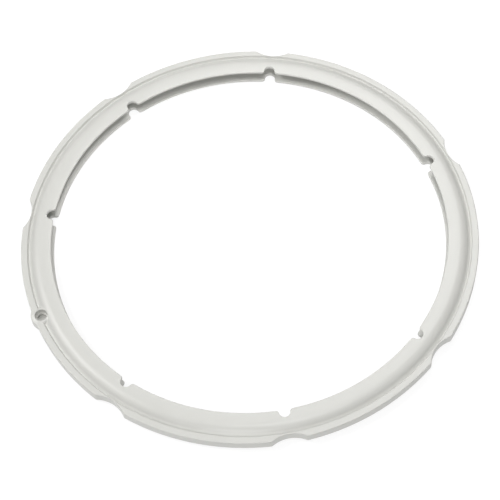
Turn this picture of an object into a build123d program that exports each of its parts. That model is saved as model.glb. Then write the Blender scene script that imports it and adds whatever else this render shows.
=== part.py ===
"""Lid sealing gasket of a stovetop pressure cooker: one moulded silicone ring."""

import os

from build123d import *

# Ring, in millimetres. The axis is Z, the underside is at Z = 0 and the locating socket is on -X.
OUTER_RADIUS = 120.0
UPPER_LIP_RADIUS = 104.1
LOWER_LIP_RADIUS = 103.4
HEIGHT = 8.7
MIDDLE = HEIGHT / 2

# Flange: the flat outer band that sits in the lid's channel.
FLANGE_HALF = 2.8
FLANGE_INNER = 116.75
STEP_RADIUS = 116.1
STEP_HALF = 1.3
FLANGE_EDGE_ROUND = 0.5

# Domed lips: two lips that face the centre of the ring and open towards it.
DOME_BASE_RADIUS = 114.6
DOME_BASE_HALF = 2.2
CREST_RADIUS = 109.6
LIP_TOP_HALF = 3.9
LIP_UNDER_HALF = 2.7
LIP_TIP_ROUND = 0.45

# Pressure channel between the lips: a round-backed slot with a mouth that widens to the lips.
CHANNEL_RADIUS = 110.2
CHANNEL_LENGTH = 5.2
CHANNEL_HEIGHT = 4.6
MOUTH_RADIUS = 107.6

# Seven scallops in the rim and seven notches in each lip, at angles from the socket.
FEATURE_ANGLES = [31, 76, 120, 180, 240, 284, 329]
SCALLOP_RADIUS = 16.0
SCALLOP_DEPTH = 3.0
SCALLOP_CORNER = 0.8
NOTCH_WIDTH = 5.6
NOTCH_END_RADIUS = 108.2
NOTCH_FLARE = 1.5
FLARE_INSET = 0.2

# Locating socket: a bulge of the flange and a low boss, with a stepped blind hole in its top.
SOCKET_RADIUS = 116.2
BULGE_RADIUS = 5.4
BOSS_RADIUS = 4.5
BOSS_RISE = 0.3
BOSS_EDGE_ROUND = 0.25
BORE_RADIUS = 3.15
BORE_DEPTH = 2.8
PIN_RADIUS = 2.2
PIN_DEPTH = 4.6

# Direction of the socket in degrees, the notch cutters' reach past the lip, and the picking tolerance.
SOCKET_ANGLE = 180.0
CUTTER_REACH = 2.0
TOLERANCE = 0.01

flange_top = MIDDLE + FLANGE_HALF
flange_bottom = MIDDLE - FLANGE_HALF


def half_section(side, lip_radius):
    """Outline of the section on one side of the middle plane, from the channel round to the rim."""
    mouth = (MOUTH_RADIUS, MIDDLE + side * CHANNEL_HEIGHT / 2)
    lip_under = (lip_radius, MIDDLE + side * LIP_UNDER_HALF)
    lip_top = (lip_radius, MIDDLE + side * LIP_TOP_HALF)
    crest = (CREST_RADIUS, MIDDLE + side * HEIGHT / 2)
    dome_base = (DOME_BASE_RADIUS, MIDDLE + side * DOME_BASE_HALF)
    step = (STEP_RADIUS, MIDDLE + side * STEP_HALF)
    flange_edge = (FLANGE_INNER, MIDDLE + side * FLANGE_HALF)
    rim = (OUTER_RADIUS, MIDDLE + side * FLANGE_HALF)
    Polyline((CHANNEL_RADIUS, MIDDLE), (MOUTH_RADIUS, MIDDLE), mouth, lip_under, lip_top)
    TangentArc(crest, lip_top, tangent=(-1, 0))
    TangentArc(crest, dome_base, tangent=(1, 0))
    Polyline(dome_base, step, flange_edge, rim, (OUTER_RADIUS, MIDDLE), (CHANNEL_RADIUS, MIDDLE))


# Cross-section: domed lips, ledge, step and flange, with the channel cut away between the lips.
with BuildSketch(Plane.XZ) as section:
    with BuildLine():
        half_section(1, UPPER_LIP_RADIUS)
    make_face()
    with BuildLine():
        half_section(-1, LOWER_LIP_RADIUS)
    make_face()
    with Locations((CHANNEL_RADIUS, MIDDLE)):
        SlotOverall(CHANNEL_LENGTH, CHANNEL_HEIGHT, mode=Mode.SUBTRACT)
        Rectangle(CHANNEL_LENGTH, CHANNEL_HEIGHT, align=(Align.MAX, Align.CENTER), mode=Mode.SUBTRACT)
    tip_points = section.vertices().filter_by(lambda v: v.X < UPPER_LIP_RADIUS + TOLERANCE)
    fillet(tip_points, LIP_TIP_ROUND)

# Scallops: shallow round bites in the rim.
bite_centre = OUTER_RADIUS - SCALLOP_DEPTH + SCALLOP_RADIUS
with BuildSketch() as scallops:
    for angle in FEATURE_ANGLES:
        with PolarLocations(bite_centre, 1, start_angle=SOCKET_ANGLE + angle):
            Circle(SCALLOP_RADIUS)

# Lip notches: round-ended slots that flare at the edge of the lip.
half_width = NOTCH_WIDTH / 2
slot_radius = NOTCH_END_RADIUS - half_width
flare_radius = UPPER_LIP_RADIUS + NOTCH_FLARE - FLARE_INSET
slot_length = slot_radius - flare_radius + NOTCH_FLARE + CUTTER_REACH
flare_length = NOTCH_FLARE + CUTTER_REACH
with BuildSketch() as notches:
    for angle in FEATURE_ANGLES:
        with PolarLocations(slot_radius, 1, start_angle=SOCKET_ANGLE + angle):
            Circle(half_width)
            Rectangle(slot_length, NOTCH_WIDTH, align=(Align.MAX, Align.CENTER))
        with PolarLocations(flare_radius, 1, start_angle=SOCKET_ANGLE + angle):
            Rectangle(flare_length, NOTCH_WIDTH + 2 * NOTCH_FLARE, align=(Align.MAX, Align.CENTER))
            with Locations((0, half_width + NOTCH_FLARE), (0, -half_width - NOTCH_FLARE)):
                Circle(NOTCH_FLARE, mode=Mode.SUBTRACT)


def flat_faces(level):
    """Horizontal faces of the gasket at one height."""
    return gasket.faces().filter_by(Axis.Z).filter_by(lambda f: abs(f.center().Z - level) < TOLERANCE)


# Flange bulge round the socket: the part of a round post that lies outside the step.
with BuildPart() as bulge:
    with Locations((-SOCKET_RADIUS, 0, MIDDLE)):
        Cylinder(BULGE_RADIUS, 2 * FLANGE_HALF)
    with Locations((0, 0, MIDDLE)):
        Cylinder(FLANGE_INNER, HEIGHT, mode=Mode.SUBTRACT)
    arcs = bulge.edges().filter_by(GeomType.CIRCLE)
    fillet(arcs.filter_by(lambda e: e.radius < SOCKET_RADIUS), FLANGE_EDGE_ROUND)

# Socket boss: a round post through the flange, standing a little proud of both its faces.
with BuildPart() as boss:
    with Locations((-SOCKET_RADIUS, 0, MIDDLE)):
        Cylinder(BOSS_RADIUS, 2 * (FLANGE_HALF + BOSS_RISE))
    fillet(boss.edges().filter_by(GeomType.CIRCLE), BOSS_EDGE_ROUND)

with BuildPart() as gasket:
    revolve(section.sketch, axis=Axis.Z)

    # Scallops, with their corners rounded, then the rim's upper and lower edges.
    extrude(scallops.sketch, amount=HEIGHT, mode=Mode.SUBTRACT)
    upright = gasket.edges().filter_by(Axis.Z)
    fillet(upright.filter_by(lambda e: abs(e.length - 2 * FLANGE_HALF) < TOLERANCE), SCALLOP_CORNER)
    for level in (flange_top, flange_bottom):
        rim_wire = flat_faces(level).wires().sort_by(SortBy.LENGTH)[-1]
        fillet(rim_wire.edges(), FLANGE_EDGE_ROUND)

    # Notches through both lips.
    extrude(notches.sketch, amount=HEIGHT, mode=Mode.SUBTRACT)

    # Locating socket.
    add(bulge)
    add(boss)
    with Locations((-SOCKET_RADIUS, 0, flange_top + BOSS_RISE)):
        CounterBoreHole(PIN_RADIUS, BORE_RADIUS, BORE_DEPTH, depth=PIN_DEPTH)

gasket.part.label = "gasket"
os.makedirs("parts", exist_ok=True)
export_step(gasket.part, "parts/gasket.step")
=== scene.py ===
"""Lid gasket of a stovetop pressure cooker: one moulded ring of pale silicone on a white studio floor."""

import cmath
import math

import bmesh
import bpy
from mathutils import Matrix, Vector


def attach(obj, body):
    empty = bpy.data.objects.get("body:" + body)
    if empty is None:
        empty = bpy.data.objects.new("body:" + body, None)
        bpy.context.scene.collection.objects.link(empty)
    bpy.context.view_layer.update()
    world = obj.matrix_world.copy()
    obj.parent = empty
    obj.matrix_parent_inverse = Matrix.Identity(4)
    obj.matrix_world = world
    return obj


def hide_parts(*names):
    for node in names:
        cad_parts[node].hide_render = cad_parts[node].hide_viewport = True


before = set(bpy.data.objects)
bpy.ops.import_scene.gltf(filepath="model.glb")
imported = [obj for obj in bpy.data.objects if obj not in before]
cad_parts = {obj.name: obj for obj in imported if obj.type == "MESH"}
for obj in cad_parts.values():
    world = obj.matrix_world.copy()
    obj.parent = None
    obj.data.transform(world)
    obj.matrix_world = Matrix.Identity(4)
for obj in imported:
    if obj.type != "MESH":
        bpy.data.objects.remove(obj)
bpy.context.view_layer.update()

# Camera, in metres and degrees, with its lens and sensor in millimetres. It looks down at the ring from
# in front and a little to the left.
CAMERA_AZIMUTH = -109.5
CAMERA_ELEVATION = 58.48
CAMERA_DISTANCE = 0.8174
CAMERA_ROLL = -4.86
CAMERA_LENS = 112.13
CAMERA_SENSOR = 36.0
AIM_BELOW = 0.0091
AIM_RIGHT = 0.0007
FLANGE_TOP = 0.00715

MM = 0.001

# Working tolerances: two points this close, in millimetres, are one, and turns are in radians.
SAME_PLACE = 1e-6
SMALL_TURN = 1e-4
NEAR_TURN = 1.0

# The gasket's section, in millimetres: radii from its axis, and heights from its middle plane.
MIDDLE = 4.35
CREST_HALF = 4.35
FLANGE_HALF = 2.8
LIP_RADIUS = {1: 104.1, -1: 103.4}
LIP_TOP_HALF = 3.9
LIP_UNDER_HALF = 2.7
LIP_TIP_ROUND = 0.45
MOUTH_RADIUS = 107.6
CHANNEL_HALF = 2.3
CHANNEL_END_RADIUS = 110.5
BLEND_RADIUS = 110.0
CREST_RADIUS = 109.6
DOME_BASE = (114.6, 2.2)
STEP_FOOT = (116.1, 1.3)
STEP_TOP = (116.75, 2.8)
RIM_RADIUS = 120.0
RIM_ROUND = 0.5

# Seven scallops and notches, in degrees from the locating socket, and their sizes in millimetres.
FEATURE_ANGLES = (31, 76, 120, 180, 240, 284, 329)
SCALLOP_RADIUS = 16.0
SCALLOP_DEPTH = 3.0
SCALLOP_CORNER = 0.25
NOTCH_HALF_WIDTH = 2.8
NOTCH_END_RADIUS = 108.2
NOTCH_FLARE = 1.5
NOTCH_SPAN = 5.2
FEATURE_SPAN = 10.5

# The locating socket's boss and its stepped hole, in millimetres.
SOCKET_RADIUS = 116.2
BULGE_RADIUS = 5.4
BULGE_FILLET = 1.6
BOSS_RADIUS = 4.5
BOSS_RISE = 0.3
BOSS_EDGE = 0.8
BORE_RADIUS = 3.15
BORE_DEPTH = 2.8
PIN_RADIUS = 2.2
PIN_DEPTH = 4.6
BORE_ROUND = 0.3
CUTTER_RISE = 1.0

# The mesh: edges sharper than this angle stay crisp, in degrees, and column spacings are in millimetres.
SHARP_ANGLE = 38.0
COARSE_SPACING = 2.4
FINE_SPACING = 0.5

# How many faces each stretch of the section, a notch's edge and the socket's hole are divided into.
CHANNEL_STEPS = 8
LIP_STEPS = 6
TIP_STEPS = 5
DOME_STEPS = 14
LEDGE_STEPS = 5
RISER_STEPS = 4
FLANGE_STEPS = 8
RIM_STEPS = 5
FLARE_STEPS = 9
NOTCH_END_STEPS = 20
MOUTH_STEPS = 6
SOCKET_SIDES = 96

# Silicone: noise scales per metre, the grain's depth in metres, and its range of tone and roughness.
CLOUD_SCALE = 45.0
CLOUD_DETAIL = 3.0
GRAIN_SCALE = 1400.0
GRAIN_DETAIL = 2.0
GRAIN_DEPTH = 0.00002
SILICONE_DARK = (0.505, 0.504, 0.478, 1)
SILICONE_LIGHT = (0.535, 0.534, 0.508, 1)
ROUGHNESS = (0.3, 0.44)

FLOOR_SIZE = 6.0
FLOOR_COLOUR = (0.22, 0.22, 0.22, 1)
FLOOR_ROUGHNESS = 0.9
FLOOR_GLOW = 0.78

# Soft boxes: compass direction and height in degrees, distance and size in metres, power in watts.
SOFT_BOXES = {
    "key_light": (148.0, 52.0, 1.2, 0.45, 6.3),
    "fill_light": (-75.0, 81.0, 1.2, 0.3, 3.6),
    "far_light": (45.0, 60.0, 0.5, 0.3, 1.2),
    "low_light": (-120.0, 38.0, 2.0, 0.6, 14.5),
}
WORLD_STRENGTH = 0.2


def add_camera():
    """The camera, rolled a little, aimed just in front of the ring's centre."""
    azimuth = math.radians(CAMERA_AZIMUTH)
    elevation = math.radians(CAMERA_ELEVATION)
    roll = math.radians(CAMERA_ROLL)
    back = Vector((
        math.cos(azimuth) * math.cos(elevation),
        math.sin(azimuth) * math.cos(elevation),
        math.sin(elevation),
    ))
    level_right = Vector((0, 0, 1)).cross(back).normalized()
    level_up = back.cross(level_right)
    right = level_right * math.cos(roll) + level_up * math.sin(roll)
    up = back.cross(right)
    centre = Vector((0, 0, FLANGE_TOP))
    eye = centre + back * CAMERA_DISTANCE
    aim = centre - up * AIM_BELOW + right * AIM_RIGHT
    forward = (aim - eye).normalized()
    side = forward.cross(up).normalized()
    top = side.cross(forward)
    data = bpy.data.cameras.new("camera")
    data.lens = CAMERA_LENS
    data.sensor_width = CAMERA_SENSOR
    camera = bpy.data.objects.new("camera", data)
    camera.matrix_world = Matrix.Translation(eye) @ Matrix((side, top, -forward)).transposed().to_4x4()
    bpy.context.collection.objects.link(camera)
    bpy.context.scene.camera = camera


def add_light(name, direction, height, distance, size, power):
    """A soft box that faces the ring from a compass direction and a height above the floor."""
    azimuth = math.radians(direction)
    elevation = math.radians(height)
    place = distance * Vector((
        math.cos(azimuth) * math.cos(elevation),
        math.sin(azimuth) * math.cos(elevation),
        math.sin(elevation),
    ))
    data = bpy.data.lights.new(name, "AREA")
    data.size = size
    data.energy = power
    lamp = bpy.data.objects.new(name, data)
    lamp.location = place
    lamp.rotation_euler = (-place).to_track_quat("-Z", "Y").to_euler()
    bpy.context.collection.objects.link(lamp)


def smooth_min(first, second, width):
    """The lower of two lengths, rounded where they are nearly equal."""
    closeness = max(width - abs(first - second), 0.0) / width
    return min(first, second) - closeness * closeness * width / 4


def turned_from(angle, centre):
    """The angle from a centre, between minus pi and pi."""
    return (angle - centre + math.pi) % (2 * math.pi) - math.pi


def rim_radius(angle):
    """Radius of the rim at an angle: a circle with seven scallops and the socket's bulge."""
    radius = RIM_RADIUS
    bite_centre = RIM_RADIUS - SCALLOP_DEPTH + SCALLOP_RADIUS
    for feature in FEATURE_ANGLES:
        turn = turned_from(angle, math.radians(180 + feature))
        across = bite_centre * math.sin(turn)
        if abs(turn) < NEAR_TURN and abs(across) < SCALLOP_RADIUS:
            bite = bite_centre * math.cos(turn) - math.sqrt(SCALLOP_RADIUS ** 2 - across ** 2)
            radius = smooth_min(radius, bite, SCALLOP_CORNER)
    turn = turned_from(angle, math.pi)
    across = SOCKET_RADIUS * math.sin(turn)
    if abs(turn) < NEAR_TURN and abs(across) < BULGE_RADIUS:
        bulge = SOCKET_RADIUS * math.cos(turn) + math.sqrt(BULGE_RADIUS ** 2 - across ** 2)
        radius = -smooth_min(-radius, -bulge, BULGE_FILLET)
    return radius


def rim_inset(angle, inset):
    """A point of the plan that lies a distance inside the rim, as a complex number."""
    before = cmath.rect(rim_radius(angle - SMALL_TURN), angle - SMALL_TURN)
    after = cmath.rect(rim_radius(angle + SMALL_TURN), angle + SMALL_TURN)
    along = (after - before) / abs(after - before)
    return cmath.rect(rim_radius(angle), angle) + along * 1j * inset


def arc_drop(run, total_run, total_drop):
    """Drop of a round arc that starts level, after a run along it."""
    radius = (total_run ** 2 + total_drop ** 2) / (2 * total_drop)
    return radius - math.sqrt(radius ** 2 - run ** 2)


def top_height(radius, side):
    """Half-height of the lip's and the dome's outer face at a radius."""
    if radius < CREST_RADIUS:
        lip_run = CREST_RADIUS - LIP_RADIUS[side]
        return CREST_HALF - arc_drop(CREST_RADIUS - radius, lip_run, CREST_HALF - LIP_TOP_HALF)
    dome_run = DOME_BASE[0] - CREST_RADIUS
    return CREST_HALF - arc_drop(radius - CREST_RADIUS, dome_run, CREST_HALF - DOME_BASE[1])


def under_height(radius, side):
    """Half-height of the channel's roof or floor at a radius."""
    share = min(max((MOUTH_RADIUS - radius) / (MOUTH_RADIUS - LIP_RADIUS[side]), 0.0), 1.0)
    return CHANNEL_HALF + (LIP_UNDER_HALF - CHANNEL_HALF) * share


def boss_height(place):
    """Half-height of the socket's boss at a point of the plan.

    It falls away round the boss's edge and levels off at the floor of the groove beside the flange.
    """
    distance = abs(place + SOCKET_RADIUS)
    fall = min(max((distance - BOSS_RADIUS + BOSS_EDGE) / BOSS_EDGE, 0.0), 2.0)
    return FLANGE_HALF + BOSS_RISE - BOSS_EDGE * (1 - math.cos(fall * math.pi / 4)) * 2


def notch_edge(lip):
    """A notch's edge in one lip, for a notch on +Y: points, and directions into the lip."""
    end_centre = complex(0, NOTCH_END_RADIUS - NOTCH_HALF_WIDTH)
    flare_y = lip + NOTCH_FLARE
    flare_x = math.sqrt((NOTCH_HALF_WIDTH + NOTCH_FLARE) ** 2 - (end_centre.imag - flare_y) ** 2)
    flare_centre = complex(flare_x, flare_y)
    join = cmath.phase(end_centre - flare_centre) % (2 * math.pi)

    # One flare, from the lip's edge to where it meets the round end.
    flare = []
    first, last = -math.pi / 2, join - 2 * math.pi
    for step in range(FLARE_STEPS):
        spoke = cmath.rect(1, first + (last - first) * step / FLARE_STEPS)
        flare.append((flare_centre + NOTCH_FLARE * spoke, -spoke))

    # The round end, and the other flare as the first one's mirror image.
    end = []
    first, last = join - math.pi, 2 * math.pi - join
    for step in range(NOTCH_END_STEPS + 1):
        spoke = cmath.rect(1, first + (last - first) * step / NOTCH_END_STEPS)
        end.append((end_centre + NOTCH_HALF_WIDTH * spoke, spoke))
    mirrored = [(-point.conjugate(), -inward.conjugate()) for point, inward in flare]
    return flare + end + mirrored[::-1]


def notch_columns(centre):
    """Columns through a notch: an angle, and each lip's edge point and direction into the lip."""
    turn = cmath.rect(1, centre - math.pi / 2)
    edges = {side: notch_edge(lip) for side, lip in LIP_RADIUS.items()}
    last = len(edges[1]) - 1
    columns = []
    for k in range(last + 1):
        angle = centre + NOTCH_SPAN / BLEND_RADIUS * (2 * k / last - 1)
        column = {side: (edge[k][0] * turn, edge[k][1] * turn) for side, edge in edges.items()}
        columns.append((angle, column))
    return columns


def plain_column(angle):
    """A column where the lips are whole."""
    outward = cmath.rect(1, angle)
    return angle, {side: (lip * outward, outward) for side, lip in LIP_RADIUS.items()}


def ring_columns():
    """Columns all round the ring, close together at the notches, the scallops and the socket."""
    columns = []
    stops = sorted([0, 360] + list(FEATURE_ANGLES))
    for feature, following in zip(stops, stops[1:]):
        centre = math.radians(180 + feature)
        finish = math.radians(180 + following)
        half = NOTCH_SPAN / BLEND_RADIUS
        if feature:
            columns += notch_columns(centre)
            angle = centre + half
        else:
            columns.append(plain_column(centre))
            angle = centre
        end = finish - (half if following < 360 else 0)
        while True:
            near = min(angle - centre, finish - angle) * RIM_RADIUS < FEATURE_SPAN
            angle += (FINE_SPACING if near else COARSE_SPACING) / RIM_RADIUS
            if angle > end - FINE_SPACING / RIM_RADIUS / 2:
                break
            columns.append(plain_column(angle))
    return columns


def channel_limit(angle):
    """Radius where the channel stops: it is cut short by the socket's post."""
    turn = turned_from(angle, math.pi)
    across = SOCKET_RADIUS * math.sin(turn)
    if abs(turn) < NEAR_TURN and abs(across) < BOSS_RADIUS:
        return SOCKET_RADIUS - math.sqrt(BOSS_RADIUS ** 2 - across ** 2)
    return CHANNEL_END_RADIUS + CHANNEL_HALF


def channel_points(angle, outward, tip, side):
    """The channel's round back, and its roof as far as the lip's tip."""
    points = []
    limit = channel_limit(angle)
    for step in range(CHANNEL_STEPS):
        turn = math.pi / 2 * step / CHANNEL_STEPS
        radius = min(CHANNEL_END_RADIUS + CHANNEL_HALF * math.cos(turn), limit)
        points.append((outward * radius, CHANNEL_HALF * math.sin(turn)))
    start = outward * BLEND_RADIUS
    for step in range(LIP_STEPS + 1):
        place = start + (tip - start) * step / LIP_STEPS
        points.append((place, under_height(abs(place), side)))
    return points


def tip_points(lip_edge, inward, tip, side):
    """The rounded tip of the lip."""
    points = []
    top, under = top_height(abs(tip), side), under_height(abs(tip), side)
    for base, start in ((under + LIP_TIP_ROUND, -math.pi / 2), (top - LIP_TIP_ROUND, 0)):
        for step in range(TIP_STEPS + 1):
            turn = start + math.pi / 2 * step / TIP_STEPS
            place = lip_edge + inward * LIP_TIP_ROUND * (1 - math.cos(turn))
            if abs(place - tip) > SAME_PLACE:
                points.append((place, base + LIP_TIP_ROUND * math.sin(turn)))
    return points


def outer_points(angle, outward, tip, side):
    """The lip's outer face, the dome, the groove and the flange as far as the rim's rounded edge."""
    points = []
    for step in range(LIP_STEPS + 1):
        place = tip + (outward * BLEND_RADIUS - tip) * step / LIP_STEPS
        points.append((place, top_height(abs(place), side)))
    for step in range(1, DOME_STEPS + 1):
        radius = BLEND_RADIUS + (DOME_BASE[0] - BLEND_RADIUS) * step / DOME_STEPS
        points.append((outward * radius, top_height(radius, side)))
    for start, end, steps in ((DOME_BASE, STEP_FOOT, LEDGE_STEPS), (STEP_FOOT, STEP_TOP, RISER_STEPS)):
        for step in range(1, steps + 1):
            share = step / steps
            place = outward * (start[0] + (end[0] - start[0]) * share)
            points.append((place, start[1] + (end[1] - start[1]) * share))
    flange_start = outward * STEP_TOP[0]
    flange_end = rim_inset(angle, RIM_ROUND)
    for step in range(1, FLANGE_STEPS + 1):
        points.append((flange_start + (flange_end - flange_start) * step / FLANGE_STEPS, FLANGE_HALF))
    return [(place, max(height, boss_height(place))) for place, height in points]


def rim_points(angle):
    """The rim's rounded edge and the upper half of its upright face."""
    points = []
    height = max(boss_height(rim_inset(angle, RIM_ROUND)), FLANGE_HALF)
    for step in range(1, RIM_STEPS + 1):
        turn = math.pi / 2 * step / RIM_STEPS
        place = rim_inset(angle, RIM_ROUND * (1 - math.sin(turn)))
        points.append((place, height - RIM_ROUND * (1 - math.cos(turn))))
    points.append((rim_inset(angle, 0), FLANGE_HALF / 2))
    return points


def half_column(angle, edge, side):
    """One column's points on one side of the middle plane, from the channel's back out to the rim."""
    outward = cmath.rect(1, angle)
    lip_edge, inward = edge
    tip = lip_edge + inward * LIP_TIP_ROUND
    return (
        channel_points(angle, outward, tip, side)
        + tip_points(lip_edge, inward, tip, side)
        + outer_points(angle, outward, tip, side)
        + rim_points(angle)
    )


def make_ring():
    """The moulded ring as one closed skin of four-sided faces."""
    loops = []
    for angle, edges in ring_columns():
        upper = [(place, MIDDLE + height) for place, height in half_column(angle, edges[1], 1)]
        lower = [(place, MIDDLE - height) for place, height in half_column(angle, edges[-1], -1)]
        loops.append(upper + [(rim_inset(angle, 0), MIDDLE)] + lower[:0:-1])
    return new_piece("gasket_ring", loops, closed_section=True)


def make_socket_cutter():
    """The shape of the socket's stepped hole, with a rounded mouth, turned about its own axis."""
    top = MIDDLE + FLANGE_HALF + BOSS_RISE
    profile = [(PIN_RADIUS, top - PIN_DEPTH), (PIN_RADIUS, top - BORE_DEPTH), (BORE_RADIUS, top - BORE_DEPTH)]
    for step in range(MOUTH_STEPS + 1):
        turn = math.pi / 2 * step / MOUTH_STEPS
        radius = BORE_RADIUS + BORE_ROUND * (1 - math.cos(turn))
        profile.append((radius, top - BORE_ROUND * (1 - math.sin(turn))))
    profile.append((BORE_RADIUS + BORE_ROUND, top + CUTTER_RISE))
    loops = []
    for k in range(SOCKET_SIDES):
        spoke = cmath.rect(1, 2 * math.pi * k / SOCKET_SIDES)
        loops.append([(spoke * radius - SOCKET_RADIUS, height) for radius, height in profile])
    return new_piece("socket_cutter", loops, closed_section=False)


def new_piece(name, loops, closed_section):
    """A mesh object from equal rows of points, all round, with faces that look outwards.

    A section that isn't closed is capped with one flat face at each end.
    """
    rows = len(loops[0])
    corners = [(place.real * MM, place.imag * MM, height * MM) for loop in loops for place, height in loop]
    faces = []
    for column in range(len(loops)):
        here = column * rows
        after = (column + 1) % len(loops) * rows
        for row in range(rows if closed_section else rows - 1):
            above = (row + 1) % rows
            faces.append((here + row, after + row, after + above, here + above))
    if not closed_section:
        faces.append([column * rows for column in range(len(loops))])
        faces.append([column * rows + rows - 1 for column in range(len(loops))])
    mesh = bpy.data.meshes.new(name)
    mesh.from_pydata(corners, [], faces)
    shape = bmesh.new()
    shape.from_mesh(mesh)
    bmesh.ops.recalc_face_normals(shape, faces=shape.faces)
    shape.to_mesh(mesh)
    shape.free()
    piece = bpy.data.objects.new(name, mesh)
    bpy.context.collection.objects.link(piece)
    return piece


def make_gasket():
    """The whole gasket: the ring with the socket's hole cut out of it."""
    ring = make_ring()
    cutter = make_socket_cutter()
    cut = ring.modifiers.new("socket", "BOOLEAN")
    cut.operation = "DIFFERENCE"
    cut.solver = "EXACT"
    cut.object = cutter
    whole = bpy.data.meshes.new_from_object(ring.evaluated_get(bpy.context.evaluated_depsgraph_get()))
    ring.modifiers.clear()
    ring.data = whole
    bpy.data.objects.remove(cutter)
    whole.shade_smooth()
    whole.set_sharp_from_angle(angle=math.radians(SHARP_ANGLE))
    return ring


def noise(nodes, links, place, scale, detail):
    """A noise texture's grey value over the object's own coordinates."""
    texture = nodes.new("ShaderNodeTexNoise")
    texture.inputs["Scale"].default_value = scale
    texture.inputs["Detail"].default_value = detail
    links.new(place.outputs["Object"], texture.inputs["Vector"])
    return texture.outputs["Fac"]


def silicone():
    """Matte pale silicone: faint clouding in its tone, a fine moulded grain and uneven sheen."""
    material = bpy.data.materials.new("silicone")
    material.use_nodes = True
    nodes, links = material.node_tree.nodes, material.node_tree.links
    shader = nodes["Principled BSDF"]
    place = nodes.new("ShaderNodeTexCoord")
    clouds = noise(nodes, links, place, CLOUD_SCALE, CLOUD_DETAIL)
    grain = noise(nodes, links, place, GRAIN_SCALE, GRAIN_DETAIL)

    tone = nodes.new("ShaderNodeMix")
    tone.data_type = "RGBA"
    tone.inputs["A"].default_value = SILICONE_DARK
    tone.inputs["B"].default_value = SILICONE_LIGHT
    links.new(clouds, tone.inputs["Factor"])
    links.new(tone.outputs["Result"], shader.inputs["Base Color"])

    sheen = nodes.new("ShaderNodeMapRange")
    sheen.inputs["To Min"].default_value = ROUGHNESS[0]
    sheen.inputs["To Max"].default_value = ROUGHNESS[1]
    links.new(clouds, sheen.inputs["Value"])
    links.new(sheen.outputs["Result"], shader.inputs["Roughness"])

    bump = nodes.new("ShaderNodeBump")
    bump.inputs["Strength"].default_value = 1.0
    bump.inputs["Distance"].default_value = GRAIN_DEPTH
    links.new(grain, bump.inputs["Height"])
    links.new(bump.outputs["Normal"], shader.inputs["Normal"])
    return material


def add_floor():
    """A plain pale floor that glows a little, so that it stays white round the ring."""
    bpy.ops.mesh.primitive_plane_add(size=FLOOR_SIZE, location=(0, 0, 0))
    floor = bpy.context.object
    floor.name = "floor"
    material = bpy.data.materials.new("floor")
    material.use_nodes = True
    shader = material.node_tree.nodes["Principled BSDF"]
    shader.inputs["Base Color"].default_value = FLOOR_COLOUR
    shader.inputs["Roughness"].default_value = FLOOR_ROUGHNESS
    shader.inputs["Emission Color"].default_value = (1, 1, 1, 1)
    shader.inputs["Emission Strength"].default_value = FLOOR_GLOW
    floor.data.materials.append(material)


def add_world():
    """Even white light from all round."""
    world = bpy.data.worlds.new("studio")
    world.use_nodes = True
    background = world.node_tree.nodes["Background"]
    background.inputs["Color"].default_value = (1, 1, 1, 1)
    background.inputs["Strength"].default_value = WORLD_STRENGTH
    bpy.context.scene.world = world


add_camera()
add_world()
for name, settings in SOFT_BOXES.items():
    add_light(name, *settings)
add_floor()
bpy.context.scene.view_settings.view_transform = "Standard"

gasket = make_gasket()
gasket.data.materials.append(silicone())
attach(gasket, "root")
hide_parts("gasket")
